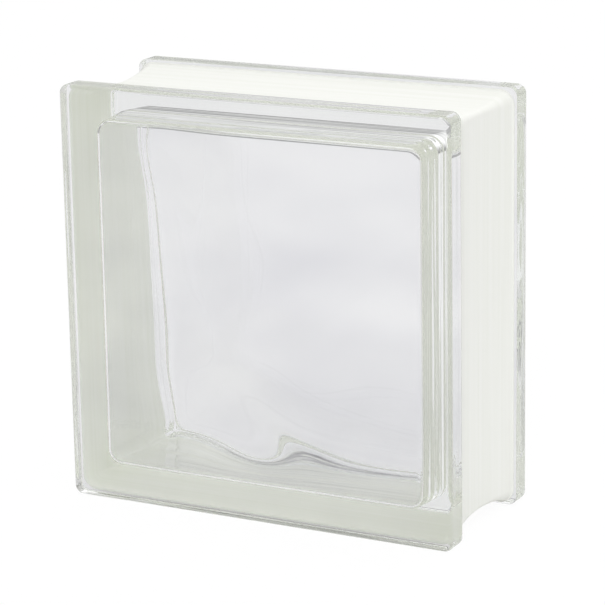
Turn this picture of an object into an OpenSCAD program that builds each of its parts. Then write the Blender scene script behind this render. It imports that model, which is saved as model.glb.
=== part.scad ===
// Hollow glass block, stood on its edge as in the photo.
// Two pressed glass shells fused at mid thickness into one sealed piece, with a
// white coat in the mortar channel that runs round the four edges.
// Millimetres. X is the width, Y the thickness (front face at -Y), Z is up, and
// the floor is at z = 0 under the middle of the block.

/* [Block] */
// Width across the face
block_w = 190; // [120:1:300]
// Height of the face
block_h = 190; // [120:1:300]
// Thickness from face to face
block_t = 80; // [70:1:120]
// Radius of the four corners of a flange, seen from the front
corner_r = 4.2; // [3.5:0.1:6]
// Rounding where a face turns into the outside of its flange
edge_r = 1.8; // [0.8:0.1:2.4]

/* [Flanges and channel] */
// Thickness of a flange, from the face to the channel
flange_t = 11.6; // [9:0.1:16]
// Rounding of the flange edge next to the channel
rim_r = 0.8; // [0.4:0.1:0.9]
// Depth of the channel at mid thickness
channel_d = 6; // [5:0.1:7]
// Depth of the channel at the foot of a flange
foot_d = 2.1; // [2:0.1:3]
// Fillet between the flange and the channel floor
foot_r = 1.4; // [1:0.1:1.5]
// Radius of the channel floor's corners at mid thickness
channel_corner_r = 1.8; // [1:0.1:3]

/* [Coat] */
// Thickness of the white coat
coat_t = 0.35; // [0.2:0.05:0.6]

/* [Cavity] */
// Mean thickness of a face pane
face_t = 8.4; // [7:0.1:11]
// Thickness of the side walls at mid thickness
wall_t = 8.3; // [6:0.1:12]
// Corner radius of the cavity, seen from the front
cavity_corner_r = 7; // [5:0.5:14]
// Fillet between the side walls and a face pane
cavity_edge_r = 3; // [1:0.5:5]
// How far a side wall leans in from the seam to a face pane
wall_draft = 1; // [0:0.1:2]
// Height of the fused seam inside the cavity
seam_h = 0.6; // [0:0.1:1.2]
// Width of the fused seam
seam_w = 3; // [2:0.5:6]

/* [Waves] */
// Height of the wave relief, as a share of its full size
wave_share = 1; // [0:0.05:1.2]

/* [Hidden] */
half_t = block_t / 2;
rim_y = half_t - flange_t;
turn_r = channel_d + channel_corner_r;
floor_r = (pow(rim_y, 2) + pow(channel_d - foot_d, 2)) / (2 * (channel_d - foot_d));
floor_p = channel_corner_r + floor_r;
foot_c_y = rim_y - foot_r;
foot_c_p = floor_p - sqrt(pow(floor_r - foot_r, 2) - pow(foot_c_y, 2));
foot_angle = asin(foot_c_y / (floor_r - foot_r));
cavity_w = block_w / 2 - channel_d - wall_t;
cavity_h = block_h / 2 - channel_d - wall_t;
pane_y = half_t - face_t;
arc_steps = 4;
floor_steps = 14;
side_steps = 20;
corner_steps = 4;
face_rings = 14;
ring_n = 4 * (side_steps + corner_steps);

// Ridges and troughs pressed into the inside of the panes. Each is the place of its
// middle from the middle of the pane (x, z), its turn from level, its half width, its
// half length, and its height (a trough is below zero)
low_ridge = [-10, -48.5, -38.5, 17, 31.5, 3.45];
hook_ridge = [-49.5, 72, -72, 10.5, 18, 1.5];
left_ridge = [-37, 95, -90, 17.5, 113.5, 3.15];
foot_trough = [32.5, -77, 5.5, 12, 120, -2.4];
slant_trough = [-10.5, -21.5, 56, 18.5, 66, -2.5];
back_ridge = [25, 20, 40, 26, 90, 2.2];
back_swell = [-35, -30, 60, 24, 70, 2];
back_trough = [45, -45, -30, 22, 60, -2];
front_relief = [low_ridge, hook_ridge, left_ridge, foot_trough, slant_trough];
back_relief = [back_ridge, back_swell, back_trough];

// Points on an arc about (cx, cy), from angle a0 to angle a1
function arc(cx, cy, r, a0, a1, steps) =
    [for (i = [0 : steps]) let (a = a0 + (a1 - a0) * i / steps) [cx + r * cos(a), cy + r * sin(a)]];

// Channel surface from the foot of one flange to the foot of the other, lifted by t
function channel(t) = concat(
    arc(foot_c_p, -foot_c_y, foot_r - t, 270, 180 + foot_angle, arc_steps),
    arc(floor_p, 0, floor_r - t, 180 + foot_angle - 2 * foot_angle / floor_steps,
        180 - foot_angle + 2 * foot_angle / floor_steps, floor_steps - 2),
    arc(foot_c_p, foot_c_y, foot_r - t, 180 - foot_angle, 90, arc_steps)
);

function reversed(list) = [for (i = [len(list) - 1 : -1 : 0]) list[i]];

// Height of one ridge at a point of the pane: a bell across it and along it
function ridge(x, z, r) =
    let (
        u = (x - r[0]) * cos(r[2]) + (z - r[1]) * sin(r[2]),
        v = (z - r[1]) * cos(r[2]) - (x - r[0]) * sin(r[2])
    )
    r[5] * exp(-pow(u / r[4], 2) - pow(v / r[3], 2));

// Thickness that the relief adds to a pane, all its ridges summed
function wave(x, z, side) =
    let (heights = [for (r = side < 0 ? front_relief : back_relief) ridge(x, z, r)])
    wave_share * heights * [for (h = heights) 1];

// One loop round the cavity: half sizes w and h, corner radius r
function loop(w, h, r) = [
    for (q = [0 : 3], i = [0 : side_steps + corner_steps - 1])
        let (
            sx = (q == 0 || q == 3) ? 1 : -1,
            sz = q < 2 ? 1 : -1,
            run = 2 * ((q % 2 == 0 ? w : h) - r),
            a = 90 * q + 90 * min(i, corner_steps) / corner_steps,
            step = run * max(0, i - corner_steps) / side_steps
        )
        [sx * (w - r) + r * cos(a) - step * cos(90 * q),
         sz * (h - r) + r * sin(a) - step * sin(90 * q)]
];

// Rings of one half of the cavity, from the middle of its pane to the seam.
// side is -1 for the front half and 1 for the back half
flat_w = cavity_w - wall_draft - cavity_edge_r;
flat_h = cavity_h - wall_draft - cavity_edge_r;
flat_r = cavity_corner_r - cavity_edge_r;
flat_loop = loop(flat_w, flat_h, flat_r);

function pane(x, z, side) = pane_y - wave(x, z, side);

function face_ring(k, side) = [
    for (p = flat_loop) let (x = p[0] * k / face_rings, z = p[1] * k / face_rings)
        [x, side * pane(x, z, side), z]
];

function fillet_ring(a, side) = [
    for (p = loop(flat_w + cavity_edge_r * sin(a), flat_h + cavity_edge_r * sin(a),
                  flat_r + cavity_edge_r * sin(a)))
        [p[0], side * (pane(p[0], p[1], side) - cavity_edge_r * (1 - cos(a))), p[1]]
];

function wall_ring(share, side) = [
    for (p = loop(cavity_w - wall_draft * (1 - share), cavity_h - wall_draft * (1 - share),
                  cavity_corner_r))
        [p[0],
         side * ((pane(p[0], p[1], side) - cavity_edge_r) * (1 - share) + seam_w / 2 * share),
         p[1]]
];

function seam_ring(y, lift) = [
    for (p = loop(cavity_w - lift, cavity_h - lift, cavity_corner_r)) [p[0], y, p[1]]
];

function half_rings(side) = concat(
    [for (k = [1 : face_rings]) face_ring(k, side)],
    [for (i = [1 : arc_steps]) fillet_ring(90 * i / arc_steps, side)],
    [wall_ring(0.5, side), wall_ring(1, side), seam_ring(side * seam_w / 4, seam_h / 2)]
);

module cavity() {
    rings = concat(half_rings(-1), [seam_ring(0, seam_h)], reversed(half_rings(1)));
    last = len(rings) - 1;
    points = concat(
        [[0, -pane(0, 0, -1), 0]],
        [for (ring = rings, p = ring) p],
        [[0, pane(0, 0, 1), 0]]
    );
    far = len(points) - 1;
    faces = concat(
        [for (j = [0 : ring_n - 1]) [0, 1 + (j + 1) % ring_n, 1 + j]],
        [for (k = [0 : last - 1], j = [0 : ring_n - 1])
            let (a = 1 + k * ring_n + j, b = 1 + k * ring_n + (j + 1) % ring_n)
            [a, b, b + ring_n]],
        [for (k = [0 : last - 1], j = [0 : ring_n - 1])
            let (a = 1 + k * ring_n + j, b = 1 + k * ring_n + (j + 1) % ring_n)
            [a, b + ring_n, a + ring_n]],
        [for (j = [0 : ring_n - 1])
            [far, 1 + last * ring_n + j, 1 + last * ring_n + (j + 1) % ring_n]]
    );
    translate([0, 0, block_h / 2]) polyhedron(points, faces, convexity = 8);
}

// A section swept round the block: half sizes w and h, corner radius r.
// The section is drawn from the line r inside the edge, with its height along Y
module swept(w, h, r) {
    for (q = [0 : 3]) {
        a = (q % 2 == 0) ? w - r : h - r;
        b = (q % 2 == 0) ? h - r : w - r;
        rotate([0, 0, 90 * q]) {
            translate([a, b, 0]) rotate([90, 0, 0]) linear_extrude(2 * b) children();
            translate([a, b, 0]) rotate_extrude(angle = 90) children();
        }
    }
}

// Turns a swept section, drawn flat, so that the block stands on its edge
module stood() {
    translate([0, 0, block_h / 2]) rotate([90, 0, 0]) children();
}

module flange_section() {
    polygon(concat(
        [[0, rim_y]],
        arc(corner_r - rim_r, rim_y + rim_r, rim_r, 270, 360, arc_steps),
        arc(corner_r - edge_r, half_t - edge_r, edge_r, 0, 90, arc_steps),
        [[0, half_t]]
    ));
}

module core_section() {
    polygon(concat(
        [[0, -rim_y - 1], [foot_c_p, -rim_y - 1]],
        channel(0),
        [[foot_c_p, rim_y + 1], [0, rim_y + 1]]
    ));
}

module coat_section() {
    polygon(concat(channel(0), reversed(channel(coat_t))));
}

module slab(r, low, high) {
    translate([r - block_w / 2, r - block_h / 2, low])
        cube([block_w - 2 * r, block_h - 2 * r, high - low]);
}

module flange() {
    swept(block_w / 2, block_h / 2, corner_r) flange_section();
    slab(corner_r, rim_y, half_t);
}

module glass_block() {
    color([0.82, 0.9, 0.86, 0.5])
    difference() {
        stood() {
            flange();
            mirror([0, 0, 1]) flange();
            swept(block_w / 2, block_h / 2, turn_r) core_section();
            slab(turn_r, -rim_y - 1, rim_y + 1);
        }
        cavity();
    }
}

module edge_coating() {
    color([0.95, 0.95, 0.93])
    stood() swept(block_w / 2, block_h / 2, turn_r) coat_section();
}

glass_block();
edge_coating();
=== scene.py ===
"""Looks for a hollow glass block with a white-coated mortar channel, standing on its edge.

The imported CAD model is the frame. Both of its nodes are replaced by finer meshes of the same
sizes: the glass, with its sealed wavy cavity, and the coat in the channel. Lengths in the
classes are millimetres, apart from the finishes, the lamp's width and the camera's reach, which
are in metres like the meshes. Everything is in the frame of the CAD.
"""

import logging
import math
from dataclasses import dataclass
from enum import Enum

import bpy
import numpy as np
from mathutils import Matrix, Vector


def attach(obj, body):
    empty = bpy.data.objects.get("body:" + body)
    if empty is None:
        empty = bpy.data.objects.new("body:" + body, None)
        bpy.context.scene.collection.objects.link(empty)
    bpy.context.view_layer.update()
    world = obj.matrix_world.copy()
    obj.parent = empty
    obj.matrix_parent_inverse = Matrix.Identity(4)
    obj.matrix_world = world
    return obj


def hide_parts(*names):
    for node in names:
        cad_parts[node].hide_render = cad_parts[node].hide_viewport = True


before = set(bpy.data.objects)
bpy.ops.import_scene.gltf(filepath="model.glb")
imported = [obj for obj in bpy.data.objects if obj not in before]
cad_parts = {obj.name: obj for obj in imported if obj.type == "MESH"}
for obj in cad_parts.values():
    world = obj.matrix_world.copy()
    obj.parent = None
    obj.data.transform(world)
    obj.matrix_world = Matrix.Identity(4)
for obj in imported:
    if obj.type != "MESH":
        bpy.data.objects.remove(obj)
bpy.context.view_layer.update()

LOG = logging.getLogger("glass_block")
MM = 0.001

Array = np.ndarray


class Side(Enum):
    """The two halves of the block; the value is the sign of Y on that side."""

    FRONT = -1
    BACK = 1


class Shader:
    """Builds one node tree and hands out wrapped sockets."""

    def __init__(self, tree: bpy.types.NodeTree) -> None:
        """Take over a node tree and clear it.

        Args:
            tree: node tree of a material or a world.
        """
        self.tree = tree
        self.tree.nodes.clear()

    def node(self, kind: str, settings: dict | None = None, **sockets: object) -> bpy.types.Node:
        """Add a node, set it up and connect its inputs.

        Args:
            kind: Blender's node type.
            settings: properties of the node, set before its sockets.
            sockets: values or wrapped sockets by input name, with _ for a space.
                A name such as in0 picks an input by its place.

        Returns:
            The new node.
        """
        made = self.tree.nodes.new(kind)
        for name, value in (settings or {}).items():
            setattr(made, name, value)
        for name, value in sockets.items():
            socket = self._input(made, name)
            if isinstance(value, Value):
                self.tree.links.new(value.socket, socket)
            else:
                socket.default_value = value
        return made

    @staticmethod
    def _input(node: bpy.types.Node, name: str) -> bpy.types.NodeSocket:
        """Find an input of a node.

        Args:
            node: the node.
            name: name of the input with _ for a space, or its place, such as in0.

        Returns:
            The input.
        """
        place = name.removeprefix("in")
        if place.isdigit():
            return node.inputs[int(place)]
        return node.inputs[name.replace("_", " ")]

    def value(self, kind: str, output: str | int = 0, settings: dict | None = None,
              **sockets: object) -> "Value":
        """Add a node and wrap one of its outputs.

        Args:
            kind: Blender's node type.
            output: name or place of the output.
            settings: properties of the node.
            sockets: values or wrapped sockets by input name.

        Returns:
            The wrapped output.
        """
        return Value(self, self.node(kind, settings, **sockets).outputs[output])

    def mix_colour(self, low: tuple[float, ...], high: tuple[float, ...], share: "Value") -> "Value":
        """Blend two colours.

        Args:
            low: colour where share is 0.
            high: colour where share is 1.
            share: wrapped blend factor.

        Returns:
            The wrapped colour.
        """
        mix = self.node("ShaderNodeMix", {"data_type": "RGBA"}, in0=share)
        mix.inputs[6].default_value = (*low, 1.0)
        mix.inputs[7].default_value = (*high, 1.0)
        return Value(self, mix.outputs[2])


class Value:
    """A shader socket that takes part in Python arithmetic; each operation adds a Math node."""

    def __init__(self, shader: Shader, socket: bpy.types.NodeSocket) -> None:
        """Wrap a socket.

        Args:
            shader: builder that owns the socket's tree.
            socket: output socket.
        """
        self.shader = shader
        self.socket = socket

    def _math(self, operation: str, first: object, second: object) -> "Value":
        """Join two operands with a Math node.

        Args:
            operation: the Math node's operation.
            first: left operand.
            second: right operand.

        Returns:
            The wrapped result.
        """
        return self.shader.value("ShaderNodeMath", settings={"operation": operation}, in0=first, in1=second)

    def __add__(self, other: object) -> "Value":
        """Return self + other."""
        return self._math("ADD", self, other)

    __radd__ = __add__

    def __mul__(self, other: object) -> "Value":
        """Return self * other."""
        return self._math("MULTIPLY", self, other)

    __rmul__ = __mul__

    def __sub__(self, other: object) -> "Value":
        """Return self - other."""
        return self._math("SUBTRACT", self, other)

    def __rsub__(self, other: object) -> "Value":
        """Return other - self."""
        return self._math("SUBTRACT", other, self)

    def at_most(self, other: object) -> "Value":
        """Return the smaller of self and other."""
        return self._math("MINIMUM", self, other)

    def at_least(self, other: object) -> "Value":
        """Return the larger of self and other."""
        return self._math("MAXIMUM", self, other)


def new_material(name: str) -> tuple[bpy.types.Material, Shader]:
    """Make an empty node material.

    Args:
        name: name of the material.

    Returns:
        The material and the builder of its tree.
    """
    material = bpy.data.materials.new(name)
    material.use_nodes = True
    return material, Shader(material.node_tree)


@dataclass(frozen=True)
class ClearGlass:
    """Pressed clear glass: faintly green in depth, with shallow draw lines round the block's edges.

    The draw lines are noise that changes quickly only along Y, so they run round the block. Faint
    slanted clouds of painted shade pass from a darker to a clear colour; they stand in for the
    block's shadow on the floor, seen through the wavy panes. Scales are per metre, heights in metres.
    """

    # The first colour is the darker tint of the painted shade clouds; the second is the unshaded glass.
    shaded_tint: tuple[float, float, float] = (0.89, 0.89, 0.91)
    clear: tuple[float, float, float] = (0.995, 0.995, 0.998)
    depth_colour: tuple[float, float, float] = (0.87, 0.92, 0.82)
    depth_density: float = 1.6
    ior: float = 1.52
    haze: float = 0.004
    line_scale: tuple[float, float, float] = (7.0, 150.0, 7.0)
    line_height: float = 0.0008
    shade_cloud_scale: tuple[float, float, float] = (10.0, 10.0, 20.0)
    shade_cloud_slant: float = -0.6
    shade_cloud_gain: float = 3.0
    shade_cloud_start: float = 1.0

    def material(self) -> bpy.types.Material:
        """Return a new material of this finish."""
        material, shader = new_material("clear_glass")
        place = shader.value("ShaderNodeTexCoord", "Object")
        drawn = shader.value("ShaderNodeMapping", Vector=place, Scale=self.line_scale)
        lines = shader.value("ShaderNodeTexNoise", "Fac", Vector=drawn, Scale=1.0, Detail=1.0)
        bump = shader.value("ShaderNodeBump", "Normal", Distance=self.line_height, Height=lines)
        # Painted shade: slanted noise clouds darken the glass's colour in place of the block's shadow seen
        # through the panes.
        slanted = shader.value(
            "ShaderNodeMapping",
            Vector=place, Rotation=(0.0, self.shade_cloud_slant, 0.0), Scale=self.shade_cloud_scale,
        )
        shade_cloud = shader.value("ShaderNodeTexNoise", "Fac", Vector=slanted, Scale=1.0, Detail=2.0)
        unshaded_share = shade_cloud * self.shade_cloud_gain - self.shade_cloud_start
        glass = shader.node(
            "ShaderNodeBsdfPrincipled",
            Base_Color=shader.mix_colour(self.shaded_tint, self.clear, unshaded_share),
            Roughness=lines * self.haze,
            IOR=self.ior,
            Transmission_Weight=1.0,
            Normal=bump,
        )
        depth = shader.node(
            "ShaderNodeVolumeAbsorption",
            Color=(*self.depth_colour, 1.0),
            Density=self.depth_density,
        )
        shader.node(
            "ShaderNodeOutputMaterial",
            Surface=Value(shader, glass.outputs[0]),
            Volume=Value(shader, depth.outputs[0]),
        )
        return material


@dataclass(frozen=True)
class WhiteCoat:
    """Matte white coat, sprayed on, with faint streaks along the edges of the block.

    The streaks are noise that changes quickly only along Y, between a thin and a thick cover of
    white, and a fine grain roughens it. Scales are per metre, heights in metres.
    """

    thin: tuple[float, float, float] = (0.92, 0.93, 0.875)
    thick: tuple[float, float, float] = (0.965, 0.97, 0.93)
    streak_scale: tuple[float, float, float] = (6.0, 420.0, 6.0)
    streak_gain: float = 3.0
    streak_start: float = 0.9
    grain_scale: float = 900.0
    grain_strength: float = 0.12
    grain_height: float = 0.0004
    smoothest: float = 0.54
    roughness_range: float = 0.16

    def material(self) -> bpy.types.Material:
        """Return a new material of this finish."""
        material, shader = new_material("white_coat")
        place = shader.value("ShaderNodeTexCoord", "Object")
        drawn = shader.value("ShaderNodeMapping", Vector=place, Scale=self.streak_scale)
        streak = shader.value("ShaderNodeTexNoise", "Fac", Vector=drawn, Scale=1.0, Detail=4.0)
        grain = shader.value("ShaderNodeTexNoise", "Fac", Vector=place, Scale=self.grain_scale, Detail=2.0)
        cover = streak * self.streak_gain - self.streak_start
        bump = shader.value(
            "ShaderNodeBump", "Normal",
            Strength=self.grain_strength, Distance=self.grain_height, Height=grain,
        )
        coat = shader.node(
            "ShaderNodeBsdfPrincipled",
            Base_Color=shader.mix_colour(self.thin, self.thick, cover),
            Roughness=grain * self.roughness_range + self.smoothest,
            Normal=bump,
        )
        shader.node("ShaderNodeOutputMaterial", Surface=Value(shader, coat.outputs[0]))
        return material


@dataclass(frozen=True)
class PaleFloor:
    """Plain pale floor that shows white and keeps a soft shadow of the block.

    White light stands in for a share of the matte floor: a large share where the camera sees it,
    a smaller one where it is seen through or in the glass, and none for the light it casts.
    """

    colour: tuple[float, float, float] = (0.82, 0.82, 0.825)
    white_share: float = 0.93
    glass_share: float = 0.4
    white_level: float = 1.02

    def material(self) -> bpy.types.Material:
        """Return a new material of this finish."""
        material, shader = new_material("pale_floor")
        ray = shader.node("ShaderNodeLightPath")
        camera = Value(shader, ray.outputs["Is Camera Ray"])
        glass = Value(shader, ray.outputs["Is Glossy Ray"])
        glass = glass.at_least(Value(shader, ray.outputs["Is Transmission Ray"]))
        seen = (camera * self.white_share).at_least(glass * self.glass_share)
        matte = shader.value("ShaderNodeBsdfDiffuse", Color=(*self.colour, 1.0))
        white = shader.value("ShaderNodeEmission", Color=(1.0, 1.0, 1.0, 1.0), Strength=self.white_level)
        mixed = shader.value("ShaderNodeMixShader", in0=seen, in1=matte, in2=white)
        shader.node("ShaderNodeOutputMaterial", Surface=mixed)
        return material


@dataclass(frozen=True)
class Ridge:
    """One ridge of the relief, or a trough where its height is below zero.

    Attributes:
        x: place of its middle along the width, from the middle of the pane.
        z: place of its middle along the height, from the middle of the pane.
        turn: turn from level, in degrees.
        width: half width, where the bell has fallen to about a third.
        length: half length, where the bell has fallen to about a third.
        height: thickness added at its middle.
    """

    x: float
    z: float
    turn: float
    width: float
    length: float
    height: float

    def at(self, x: Array, z: Array) -> Array:
        """Height of the ridge: a bell across it and a longer bell along it.

        Args:
            x: distance from the middle of the pane along the width.
            z: distance from the middle of the pane along the height.

        Returns:
            Height at each point.
        """
        c, s = math.cos(math.radians(self.turn)), math.sin(math.radians(self.turn))
        u = (x - self.x) * c + (z - self.z) * s
        v = (z - self.z) * c - (x - self.x) * s
        return self.height * np.exp(-((u / self.length) ** 2) - (v / self.width) ** 2)


@dataclass(frozen=True)
class Waves:
    """The relief pressed into the inner sides of the panes, the same as in the CAD."""

    front: tuple[Ridge, ...] = (
        Ridge(-10.0, -48.5, -38.5, 17.0, 31.5, 3.45),
        Ridge(-49.5, 72.0, -72.0, 10.5, 18.0, 1.5),
        Ridge(-37.0, 95.0, -90.0, 17.5, 113.5, 3.15),
        Ridge(32.5, -77.0, 5.5, 12.0, 120.0, -2.4),
        Ridge(-10.5, -21.5, 56.0, 18.5, 66.0, -2.5),
    )
    back: tuple[Ridge, ...] = (
        Ridge(25.0, 20.0, 40.0, 26.0, 90.0, 2.2),
        Ridge(-35.0, -30.0, 60.0, 24.0, 70.0, 2.0),
        Ridge(45.0, -45.0, -30.0, 22.0, 60.0, -2.0),
    )

    def height(self, x: Array, z: Array, side: Side) -> Array:
        """Thickness that the relief adds to a pane, all its ridges summed.

        Args:
            x: distance from the middle of the pane along the width.
            z: distance from the middle of the pane along the height.
            side: which pane.

        Returns:
            Added thickness at each point.
        """
        ridges = self.front if side is Side.FRONT else self.back
        return np.sum([ridge.at(x, z) for ridge in ridges], axis=0)


@dataclass(frozen=True)
class RoundedLoop:
    """Points round a rectangle with round corners, shared by all loops of one surface.

    The walk is divided into four quarters. Each goes from the middle of one corner to the
    middle of the next, with a share of its steps on the two half corners.
    """

    steps: int
    corner_share: float

    @property
    def count(self) -> int:
        """Number of points in a loop."""
        return 4 * self.steps

    def at(self, walk: Array, half_w: Array, half_h: Array, radius: Array) -> tuple[Array, Array]:
        """Points of a loop, by how far round they are.

        Args:
            walk: place along the loop, one unit for each quarter.
            half_w: half of the width.
            half_h: half of the height.
            radius: corner radius.

        Returns:
            The x and z of the points.
        """
        quarter = np.floor(walk).astype(int) % 4
        part = walk - np.floor(walk)
        c = self.corner_share
        along = np.where(quarter % 2 == 0, half_w, half_h)
        across = np.where(quarter % 2 == 0, half_h, half_w)
        first = np.clip(part / c, 0.0, 1.0)
        last = np.clip((part - 1 + c) / c, 0.0, 1.0)
        middle = np.clip((part - c) / (1 - 2 * c), 0.0, 1.0)
        angle = np.pi / 4 + first * np.pi / 4 + last * np.pi / 4
        p = (along - radius) * (1 - 2 * middle) + radius * np.cos(angle)
        q = (across - radius) + radius * np.sin(angle)
        x = np.choose(quarter, [p, -q, -p, q])
        z = np.choose(quarter, [q, p, -q, -p])
        return x, z

    def walk(self) -> Array:
        """Return the places of the loop's points."""
        return np.arange(self.count) / self.steps

    def rings(self, half_w: Array, half_h: Array, radius: Array, depth: Array) -> Array:
        """Loops of a swept section.

        Args:
            half_w: half width of each loop.
            half_h: half height of each loop.
            radius: corner radius of each loop.
            depth: Y of each loop.

        Returns:
            Points as loops by points by x, y and z.
        """
        walk = np.broadcast_to(self.walk(), (len(depth), self.count))
        x, z = self.at(walk, half_w[:, None], half_h[:, None], radius[:, None])
        y = np.broadcast_to(np.asarray(depth)[:, None], x.shape)
        return np.stack([x, y, z], axis=-1)


def arc(centre: tuple[float, float], radius: float, start: float, stop: float, steps: int) -> Array:
    """Points on an arc.

    Args:
        centre: centre of the arc.
        radius: its radius.
        start: first angle in degrees.
        stop: last angle in degrees.
        steps: number of steps.

    Returns:
        Points as rows of two numbers.
    """
    angle = np.radians(np.linspace(start, stop, steps + 1))
    return np.stack([centre[0] + radius * np.cos(angle), centre[1] + radius * np.sin(angle)], axis=1)


class Surface:
    """Collects vertices and faces of one mesh."""

    def __init__(self) -> None:
        """Start empty."""
        self.points: list[Array] = []
        self.quads: list[Array] = []
        self.tris: list[Array] = []
        self.total = 0

    def add_points(self, points: Array) -> Array:
        """Add vertices.

        Args:
            points: array whose last axis holds x, y and z.

        Returns:
            Their numbers, in the shape of the array without its last axis.
        """
        shape = points.shape[:-1]
        ids = self.total + np.arange(int(np.prod(shape))).reshape(shape)
        self.points.append(points.reshape(-1, 3))
        self.total += ids.size
        return ids

    def add_bands(self, rings: Array) -> None:
        """Join each closed ring of vertices to the next.

        Args:
            rings: vertex numbers, rings by places.
        """
        ahead = np.roll(rings, -1, axis=1)
        quads = np.stack([rings[:-1], ahead[:-1], ahead[1:], rings[1:]], axis=-1)
        self.quads.append(quads.reshape(-1, 4))

    def add_fan(self, ring: Array, centre: int) -> None:
        """Close a ring with triangles to one vertex.

        Args:
            ring: vertex numbers round the edge.
            centre: vertex number in the middle.
        """
        ahead = np.roll(ring, -1)
        middle = np.full_like(ring, centre)
        self.tris.append(np.stack([ring, ahead, middle], axis=-1))

    def add_grid(self, grid: Array, flip: bool) -> None:
        """Fill a grid of vertices with quads.

        Args:
            grid: vertex numbers in rows and columns.
            flip: turn the faces round.
        """
        quads = np.stack([grid[:-1, :-1], grid[1:, :-1], grid[1:, 1:], grid[:-1, 1:]], axis=-1)
        quads = quads.reshape(-1, 4)
        self.quads.append(quads[:, ::-1] if flip else quads)

    def mesh(self, name: str) -> bpy.types.Object:
        """Make the object.

        Args:
            name: name of the piece.

        Returns:
            A linked object at the origin, with smooth faces and its sizes in metres.
        """
        data = bpy.data.meshes.new(name)
        blocks = self.quads + self.tris
        corners = np.concatenate([block.ravel() for block in blocks])
        sides = np.concatenate([np.full(len(block), block.shape[1]) for block in blocks])
        data.vertices.add(self.total)
        data.vertices.foreach_set("co", (np.concatenate(self.points) * MM).ravel())
        data.loops.add(len(corners))
        data.loops.foreach_set("vertex_index", corners)
        data.polygons.add(len(sides))
        data.polygons.foreach_set("loop_start", np.cumsum(sides) - sides)
        data.polygons.foreach_set("use_smooth", np.ones(len(sides), dtype=bool))
        data.update(calc_edges=True)
        data.validate()
        made = bpy.data.objects.new(name, data)
        bpy.context.scene.collection.objects.link(made)
        return made


@dataclass
class BlockSizes:
    """Sizes of the block, in millimetres, as in the CAD, and the steps of the channel's arcs."""

    width: float = 190.0
    height: float = 190.0
    thickness: float = 80.0
    corner_r: float = 4.2
    edge_r: float = 1.8
    flange_t: float = 11.6
    rim_r: float = 0.8
    channel_d: float = 6.0
    foot_d: float = 2.1
    foot_r: float = 1.4
    channel_corner_r: float = 1.8
    coat_t: float = 0.35
    face_t: float = 8.4
    wall_t: float = 8.3
    cavity_corner_r: float = 7.0
    cavity_edge_r: float = 3.0
    wall_draft: float = 1.0
    seam_h: float = 0.6
    seam_w: float = 3.0
    foot_steps: int = 6
    floor_steps: int = 24

    @property
    def rim_y(self) -> float:
        """Distance from mid thickness to the inner side of a flange."""
        return self.thickness / 2 - self.flange_t

    @property
    def turn_r(self) -> float:
        """Distance from the edge of the block to the centre that the channel's corners turn about."""
        return self.channel_d + self.channel_corner_r

    def channel(self, lift: float) -> Array:
        """Section of the channel from foot to foot.

        A wide arc between two small fillets that meet it and the flanges smoothly.

        Args:
            lift: distance above the glass.

        Returns:
            Rows of depth below the edge of the block and y.
        """
        rise = self.channel_d - self.foot_d
        floor_r = (self.rim_y**2 + rise**2) / (2 * rise)
        foot_y = self.rim_y - self.foot_r
        out = floor_r - math.sqrt((floor_r - self.foot_r) ** 2 - foot_y**2)
        angle = math.degrees(math.asin(foot_y / (floor_r - self.foot_r)))
        low = arc((out, -foot_y), self.foot_r - lift, 270, 180 + angle, self.foot_steps)
        wide = arc((floor_r, 0.0), floor_r - lift, 180 + angle, 180 - angle, self.floor_steps)[1:-1]
        high = arc((out, foot_y), self.foot_r - lift, 180 - angle, 90, self.foot_steps)
        section = np.concatenate([low, wide, high])
        return np.stack([self.channel_d - section[:, 0], section[:, 1]], axis=1)


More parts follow.
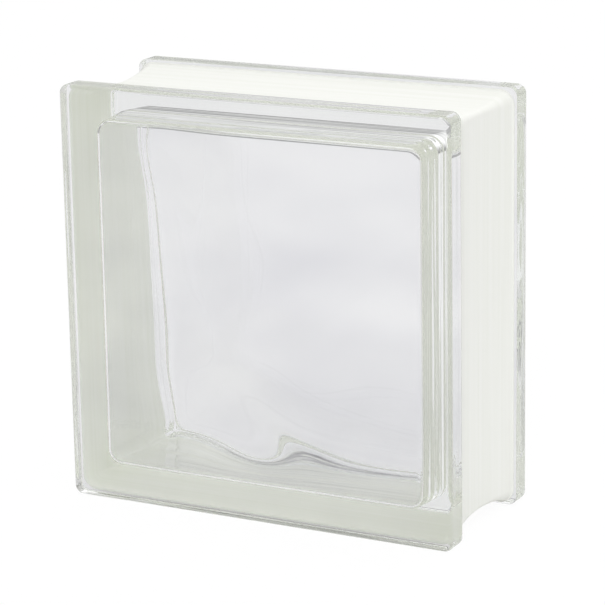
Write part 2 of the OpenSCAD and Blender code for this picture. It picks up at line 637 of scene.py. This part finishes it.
@dataclass
class GlassBody:
    """The block of glass: flanged outside and a sealed cavity with wavy panes.

    Attributes:
        sizes: sizes of the block.
        waves: relief of the panes.
        finish: the glass.
        outside: steps of the loops round the outside.
        inside: steps of the loops round the cavity and of the grids on the panes.
        face_ring: inset of the innermost loop on a face.
        near_edge: distance of a face's next loop from the rounded edge.
        hold: distance of the last loop on a flat stretch from the rounding beside it.
        least_corner: smallest corner radius of a loop on a face.
        edge_steps: steps round the outer edge of a flange.
        rim_steps: steps round the inner edge of a flange.
        fillet_steps: steps round the fillet of a pane.
        wall_steps: steps from the fillet to the seam.
        seam_steps: steps over half of the seam.
    """

    sizes: BlockSizes
    waves: Waves
    finish: ClearGlass
    outside: RoundedLoop = RoundedLoop(20, 0.4)
    inside: RoundedLoop = RoundedLoop(120, 0.05)
    face_ring: float = 12.0
    near_edge: float = 0.6
    hold: float = 0.06
    least_corner: float = 0.4
    edge_steps: int = 8
    rim_steps: int = 5
    fillet_steps: int = 20
    wall_steps: int = 8
    seam_steps: int = 6

    def outer_section(self) -> Array:
        """Section of the outside, from the front face to the back face.

        Flat stretches have a point a hair before each rounding, which keeps their shading flat.

        Returns:
            Rows of inset from the edge, corner radius and y.
        """
        s = self.sizes
        half = s.thickness / 2
        flat = np.array([
            [self.face_ring, -half],
            [s.edge_r + self.near_edge, -half],
            [s.edge_r + self.hold, -half],
        ])
        face = arc((s.edge_r, -half + s.edge_r), s.edge_r, 270, 180, self.edge_steps)
        side = np.array([[0.0, -half + s.edge_r + self.hold], [0.0, -s.rim_y - s.rim_r - self.hold]])
        rim = arc((s.rim_r, -s.rim_y - s.rim_r), s.rim_r, 180, 90, self.rim_steps)
        flange = np.concatenate([flat, face, side, rim])
        corner = np.maximum(s.corner_r - flange[:, 0], self.least_corner)
        flange = np.stack([flange[:, 0], corner, flange[:, 1]], axis=1)
        floor = s.channel(0.0)
        floor = np.stack([floor[:, 0], s.turn_r - floor[:, 0], floor[:, 1]], axis=1)
        back = flange[::-1] * np.array([1.0, 1.0, -1.0])
        return np.concatenate([flange, floor, back])

    def add_outside(self, surface: Surface) -> None:
        """Sweep the outer section round the block and close both faces with fans.

        Args:
            surface: mesh under construction.
        """
        s = self.sizes
        inset, radius, depth = self.outer_section().T
        rings = self.outside.rings(s.width / 2 - inset, s.height / 2 - inset, radius, depth)
        ids = surface.add_points(self.stood(rings))
        surface.add_bands(ids[::-1])
        centres = self.stood(np.array([[0.0, -s.thickness / 2, 0.0], [0.0, s.thickness / 2, 0.0]]))
        front, back = surface.add_points(centres)
        surface.add_fan(ids[0], front)
        surface.add_fan(ids[-1][::-1], back)

    def stood(self, points: Array) -> Array:
        """Return points about the middle of the block, moved so that it stands on the floor."""
        return points + np.array([0.0, 0.0, self.sizes.height / 2])

    def pane(self, x: Array, z: Array, side: Side) -> Array:
        """Distance from mid thickness to the inner side of a pane.

        Args:
            x: place along the width.
            z: place along the height, from the middle.
            side: which pane.

        Returns:
            The distances.
        """
        return self.sizes.thickness / 2 - self.sizes.face_t - self.waves.height(x, z, side)

    def pane_grid(self, side: Side) -> Array:
        """Inner side of a pane as a square grid of points.

        The grid is made of square rings, each a smaller copy of the loop round the pane.

        Args:
            side: which pane.

        Returns:
            Points in rows and columns.
        """
        s = self.sizes
        n = self.inside.steps
        u, v = np.meshgrid(np.linspace(-1, 1, n + 1), np.linspace(-1, 1, n + 1), indexing="ij")
        scale = np.maximum(np.maximum(np.abs(u), np.abs(v)), 1e-9)
        a, b = u / scale, v / scale
        walk = np.select(
            [(b >= 1) & (a > -1), (a <= -1) & (b > -1), (b <= -1) & (a < 1)],
            [(1 - a) / 2, 1 + (1 - b) / 2, 2 + (1 + a) / 2],
            3 + (1 + b) / 2,
        )
        inset = s.wall_draft + s.cavity_edge_r
        half_w, half_h = self.cavity_half()
        x, z = self.inside.at(walk, half_w - inset, half_h - inset, s.cavity_corner_r - s.cavity_edge_r)
        x, z = x * scale, z * scale
        return np.stack([x, side.value * self.pane(x, z, side), z], axis=-1)

    def cavity_half(self) -> tuple[float, float]:
        """Return half the width and half the height of the cavity at the seam."""
        s = self.sizes
        inset = s.channel_d + s.wall_t
        return s.width / 2 - inset, s.height / 2 - inset

    def half_rings(self, side: Side) -> Array:
        """Loops of the cavity wall on one side of the seam, from the pane to the seam.

        A quarter-round fillet leaves the pane and follows its waves, the wall leans out to
        the seam, and a low round bead rises at the seam itself.

        Args:
            side: which half.

        Returns:
            Points as loops by places by x, y and z.
        """
        s = self.sizes
        half_w, half_h = self.cavity_half()
        turn = np.radians(np.linspace(0, 90, self.fillet_steps + 1))[1:]
        lean = np.linspace(0, 1, self.wall_steps + 1)[1:]
        bead = np.linspace(0, 1, self.seam_steps + 1)[1:]
        inset = np.concatenate([
            s.wall_draft + s.cavity_edge_r * (1 - np.sin(turn)),
            s.wall_draft * (1 - lean),
            s.seam_h * (1 - np.cos(np.pi * bead)) / 2,
        ])
        radius = np.concatenate([
            s.cavity_corner_r - s.cavity_edge_r * (1 - np.sin(turn)),
            np.full(len(lean) + len(bead), s.cavity_corner_r),
        ])
        flat = self.inside.rings(half_w - inset, half_h - inset, radius, np.zeros(len(inset)))
        top = self.pane(flat[..., 0], flat[..., 2], side)
        wall_from = len(turn)
        seam_from = wall_from + len(lean)
        y = np.empty_like(top)
        y[:wall_from] = top[:wall_from] - s.cavity_edge_r * (1 - np.cos(turn))[:, None]
        foot = top[wall_from:seam_from] - s.cavity_edge_r
        y[wall_from:seam_from] = foot * (1 - lean)[:, None] + s.seam_w / 2 * lean[:, None]
        y[seam_from:] = (s.seam_w / 2 * (1 - bead))[:, None]
        flat[..., 1] = side.value * y
        return flat

    def edge_of(self, grid: Array) -> Array:
        """Vertex numbers round the edge of a square grid, in the order of the loop.

        Args:
            grid: vertex numbers in rows and columns.

        Returns:
            The loop, from the corner at the end of both axes.
        """
        return np.concatenate([grid[:0:-1, -1], grid[0, :0:-1], grid[:-1, 0], grid[-1, :-1]])

    def add_cavity(self, surface: Surface) -> None:
        """Add both wavy panes and the wall between them.

        Args:
            surface: mesh under construction.
        """
        front = surface.add_points(self.stood(self.pane_grid(Side.FRONT)))
        back = surface.add_points(self.stood(self.pane_grid(Side.BACK)))
        wall = np.concatenate([self.half_rings(Side.FRONT), self.half_rings(Side.BACK)[-2::-1]])
        middle = surface.add_points(self.stood(wall))
        rings = np.concatenate([self.edge_of(front)[None], middle, self.edge_of(back)[None]])
        surface.add_bands(rings)
        surface.add_grid(front, flip=True)
        surface.add_grid(back, flip=False)

    def build(self) -> bpy.types.Object:
        """Make the glass, put it in place of its CAD node and dress it.

        Returns:
            The piece.
        """
        surface = Surface()
        self.add_outside(surface)
        self.add_cavity(surface)
        piece = surface.mesh("glass_body")
        piece.data.materials.append(self.finish.material())
        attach(piece, "root")
        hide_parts("glass_block")
        return piece


@dataclass
class ChannelCoat:
    """The white coat on the floor of the channel and the feet of the flanges.

    Attributes:
        sizes: sizes of the block.
        finish: the coat.
        loop: steps of the loops round the block.
        bond: how far the inner side lies inside the glass.
    """

    sizes: BlockSizes
    finish: WhiteCoat
    loop: RoundedLoop = RoundedLoop(20, 0.4)
    bond: float = 0.03

    def build(self) -> bpy.types.Object:
        """Sweep the closed section of the coat round the block and dress it.

        The section runs along the glass, a hair inside it so that no air shows between
        the two, and back along the outer side of the coat.

        Returns:
            The piece.
        """
        s = self.sizes
        inner = s.channel(-self.bond)
        outer = s.channel(s.coat_t)
        section = np.concatenate([inner, outer[::-1], inner[:1]])
        inset, depth = section.T
        rings = self.loop.rings(s.width / 2 - inset, s.height / 2 - inset, s.turn_r - inset, depth)
        rings[..., 2] += s.height / 2
        surface = Surface()
        ids = surface.add_points(rings[:-1])
        surface.add_bands(np.concatenate([ids, ids[:1]]))
        piece = surface.mesh("channel_coat")
        piece.data.materials.append(self.finish.material())
        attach(piece, "root")
        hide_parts("edge_coating")
        return piece


@dataclass(frozen=True)
class LightBand:
    """Light of the surround at one height: a mean level that changes to the right and to the back."""

    mean: float
    to_right: float
    to_back: float
    least: float

    def level(self, aside: Value, ahead: Value) -> Value:
        """Level of the light in a direction.

        Args:
            aside: share of the direction that points right.
            ahead: share of the direction that points to the back.

        Returns:
            The wrapped level.
        """
        return (aside * self.to_right + ahead * self.to_back + self.mean).at_least(self.least)


@dataclass
class Studio:
    """Floor, soft light and camera.

    The camera was fitted to the outline in the photo: its place, the point it looks at, its roll in
    degrees and its focal length in pixels of the photo's width.
    """

    eye: tuple[float, float, float] = (569.36, -1060.36, 413.83)
    target: tuple[float, float, float] = (3.746, 0.0, 91.385)
    roll: float = -1.047
    focal_px: float = 2792.9
    frame_px: float = 605.0
    sensor: float = 36.0
    view_reach: float = 50.0
    floor_r: float = 1500.0
    floor_z: float = -0.3
    floor_sides: int = 96
    horizon: LightBand = LightBand(mean=0.4, to_right=0.15, to_back=-0.55, least=0.35)
    upper: LightBand = LightBand(mean=0.75, to_right=0.25, to_back=0.7, least=0.15)
    overhead: float = 1.15
    lamp_place: tuple[float, float, float] = (700.0, -1800.0, 1500.0)
    lamp_aim: tuple[float, float, float] = (0.0, 0.0, 95.0)
    lamp_width: float = 0.25
    lamp_watts: float = 10.0
    all_bounces: int = 96
    matte_bounces: int = 24
    glass_bounces: int = 64

    def add_camera(self) -> bpy.types.Object:
        """Place the camera where the photo was taken from.

        Returns:
            The camera.
        """
        data = bpy.data.cameras.new("camera")
        data.sensor_width = self.sensor
        data.lens = self.sensor * self.focal_px / self.frame_px
        data.clip_end = self.view_reach
        made = bpy.data.objects.new("camera", data)
        bpy.context.scene.collection.objects.link(made)
        back = (Vector(self.eye) - Vector(self.target)).normalized()
        right = Vector((0, 0, 1)).cross(back).normalized()
        up = back.cross(right)
        turn = math.radians(self.roll)
        across = right * math.cos(turn) + up * math.sin(turn)
        above = up * math.cos(turn) - right * math.sin(turn)
        pose = Matrix((across, above, back)).transposed().to_4x4()
        pose.translation = Vector(self.eye) * MM
        made.matrix_world = pose
        bpy.context.scene.camera = made
        return made

    def add_floor(self) -> bpy.types.Object:
        """Lay a round pale floor under the block.

        Returns:
            The floor.
        """
        angle = np.linspace(0, 2 * np.pi, self.floor_sides, endpoint=False)
        level = np.full_like(angle, self.floor_z)
        ring = np.stack([self.floor_r * np.cos(angle), self.floor_r * np.sin(angle), level], axis=1)
        surface = Surface()
        ids = surface.add_points(ring)
        centre = surface.add_points(np.array([[0.0, 0.0, self.floor_z]]))
        surface.add_fan(ids, int(centre[0]))
        floor = surface.mesh("floor")
        floor.data.materials.append(PaleFloor().material())
        return floor

    def add_lamp(self) -> bpy.types.Object:
        """Hang a small soft lamp that faces the block and isn't seen in the glass.

        Returns:
            The lamp.
        """
        data = bpy.data.lights.new("front_lamp", "AREA")
        data.shape = "RECTANGLE"
        data.size = self.lamp_width
        data.size_y = self.lamp_width
        data.energy = self.lamp_watts
        made = bpy.data.objects.new("front_lamp", data)
        bpy.context.scene.collection.objects.link(made)
        made.location = Vector(self.lamp_place) * MM
        aim = Vector(self.lamp_aim) - Vector(self.lamp_place)
        made.rotation_euler = aim.to_track_quat("-Z", "Y").to_euler()
        made.visible_glossy = False
        made.visible_transmission = False
        made.visible_camera = False
        return made

    def add_world(self) -> None:
        """Surround the block with white for what is seen and plain soft light for the rest.

        The light is strongest high at the back and overhead. Near the horizon it is bright
        only at the front, which draws the edges of the glass. The horizon's level passes into
        the upper level half way up, and from there into the level overhead.
        """
        world = bpy.data.worlds.new("studio")
        bpy.context.scene.world = world
        world.use_nodes = True
        shader = Shader(world.node_tree)
        ray = shader.node("ShaderNodeLightPath")
        camera = Value(shader, ray.outputs["Is Camera Ray"])
        place = shader.node("ShaderNodeSeparateXYZ", Vector=shader.value("ShaderNodeTexCoord", "Generated"))
        ahead = Value(shader, place.outputs["Y"])
        aside = Value(shader, place.outputs["X"])
        above = Value(shader, place.outputs["Z"])
        low = self.horizon.level(aside, ahead)
        high = self.upper.level(aside, ahead)
        rise = (above * 2.0).at_most(1.0).at_least(0.0)
        crown = (above * 2.0 - 1.0).at_least(0.0)
        level = camera.at_least(low + (high - low) * rise + (self.overhead - high) * crown)
        mixed = shader.value("ShaderNodeBackground", Color=(1.0, 1.0, 1.0, 1.0), Strength=level)
        shader.node("ShaderNodeOutputWorld", Surface=mixed)

    def build(self) -> None:
        """Set up the stage, with light followed through the glass until it leaves."""
        scene = bpy.context.scene
        scene.view_settings.view_transform = "Standard"
        scene.cycles.max_bounces = self.all_bounces
        scene.cycles.diffuse_bounces = self.matte_bounces
        scene.cycles.glossy_bounces = self.glass_bounces
        scene.cycles.transmission_bounces = self.glass_bounces
        scene.cycles.caustics_reflective = True
        scene.cycles.caustics_refractive = True
        scene.cycles.blur_glossy = 0.0
        self.add_camera()
        self.add_floor()
        self.add_world()
        self.add_lamp()


def report(piece: bpy.types.Object) -> None:
    """Log a piece's name and size.

    Args:
        piece: a finished piece.
    """
    size = ", ".join(f"{length / MM:.1f}" for length in piece.dimensions)
    LOG.info("%s: %d faces, %s mm", piece.name, len(piece.data.polygons), size)


def main() -> None:
    """Build the stage and both pieces."""
    logging.basicConfig(level=logging.INFO, format="%(name)s: %(message)s")
    Studio().build()
    sizes = BlockSizes()
    report(GlassBody(sizes, Waves(), ClearGlass()).build())
    report(ChannelCoat(sizes, WhiteCoat()).build())
    bpy.context.view_layer.update()


if __name__ == "__main__":
    main()
